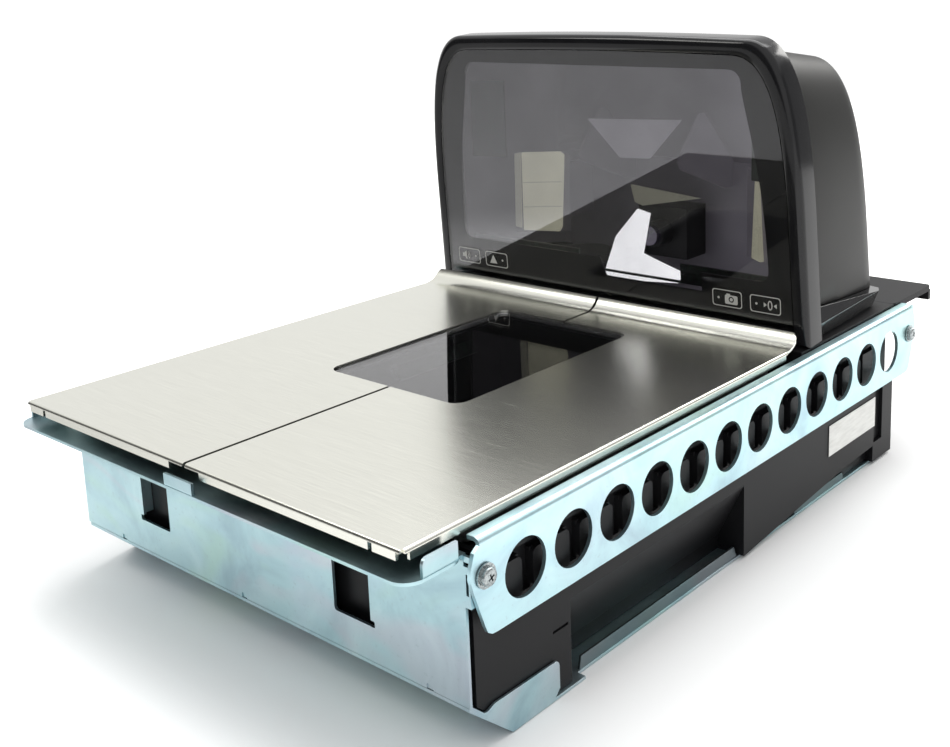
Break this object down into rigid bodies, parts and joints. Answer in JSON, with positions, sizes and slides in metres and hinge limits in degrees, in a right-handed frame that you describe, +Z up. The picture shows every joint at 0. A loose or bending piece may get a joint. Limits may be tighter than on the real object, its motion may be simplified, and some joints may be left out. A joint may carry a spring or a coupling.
{
  "type": "flatbed barcode scanner",
  "caption": "Checkout scanner-scale with a flat steel weigh bed around a scan glass, an upright glass tower behind it and perforated side rails that hang it in a counter.",
  "frame": {"origin": "on the surface that the scanner stands on, under the middle of its bounding box", "axes": "+X to the scanner's right seen from the front, +Y from the front edge towards the tower, +Z up"},
  "size_m": [0.3174, 0.512, 0.2875],
  "materials": {
    "steel": "fine satin brushed stainless sheet",
    "zinc": "clear-passivated zinc-plated sheet, blue-grey with a faint pink and green bloom",
    "screw_zinc": "bright zinc-plated turned steel",
    "cast_metal": "die-cast and machined, matt",
    "black_plastic": "fine-grained moulded plastic",
    "gloss_black": "polished moulded plastic",
    "grey_plastic": "satin spark-eroded moulded plastic",
    "dark_glass": "tinted hardened glass, polished",
    "lens_glass": "coated optical glass",
    "mirror": "front-silvered glass",
    "rubber": "matt black",
    "circuit_board": "green solder mask",
    "label": "blank matt film label"
  },
  "bodies": {
    "base": {"load_cell": "cast_metal", "horizontal_glass": "dark_glass", "horizontal_glass_seal": "rubber", "horizontal_glass_frame": "black_plastic", "housing_tub": "black_plastic", "side_label": "label", "main_board": "circuit_board", "power_socket": "black_plastic", "host_socket": "zinc", "display_socket": "zinc", "optics_chassis": "black_plastic", "lower_fold_mirror": "mirror", "lower_led_board_right": "circuit_board", "lower_led_board_left": "circuit_board", "lower_camera": "black_plastic", "lower_camera_lens": "lens_glass", "base_tray": "zinc", "front_bracket": "zinc", "right_rail": "zinc", "left_rail": "zinc", "right_rail_front_screw": "screw_zinc", "left_rail_front_screw": "screw_zinc", "right_rail_rear_screw": "screw_zinc", "left_rail_rear_screw": "screw_zinc", "right_rear_bracket": "zinc", "left_rear_bracket": "zinc", "tower_base": "gloss_black", "rear_deck": "grey_plastic", "tower_bezel": "gloss_black", "vertical_glass": "dark_glass", "vertical_glass_seal": "rubber", "tower_cover": "grey_plastic", "tower_plinth": "gloss_black", "tower_chassis": "black_plastic", "touch_board": "circuit_board", "tower_top_mirror": "mirror", "tower_split_mirror": "mirror", "tower_side_mirror_right": "mirror", "tower_side_mirror_left": "mirror", "tower_led_board_right": "circuit_board", "tower_led_board_left": "circuit_board", "tower_camera": "black_plastic", "tower_camera_lens": "lens_glass", "speaker": "black_plastic", "right_front_stop": "screw_zinc", "right_rear_stop": "screw_zinc", "left_front_stop": "screw_zinc", "left_rear_stop": "screw_zinc"},
    "weigh_frame": {"weigh_frame": "cast_metal", "load_cell_riser": "cast_metal", "right_pad_outer_front": "rubber", "right_pad_outer_rear": "rubber", "right_pad_inner_front": "rubber", "right_pad_inner_rear": "rubber", "left_pad_outer_front": "rubber", "left_pad_outer_rear": "rubber", "left_pad_inner_front": "rubber", "left_pad_inner_rear": "rubber"},
    "left_plate": {"left_plate": "steel"},
    "right_plate": {"right_plate": "steel"}
  },
  "joints": [
    {"name": "weigh_travel", "type": "slide", "parent": "base", "child": "weigh_frame", "axis": [0, 0, -1], "range_m": [0, 0.0008], "stiffness_N_per_m": 200000, "springref_m": -0.0001},
    {"name": "left_plate_lift", "type": "slide", "parent": "weigh_frame", "child": "left_plate", "axis": [0, 0, 1], "range_m": [0, 0.06]},
    {"name": "right_plate_lift", "type": "slide", "parent": "weigh_frame", "child": "right_plate", "axis": [0, 0, 1], "range_m": [0, 0.06]}
  ]
}
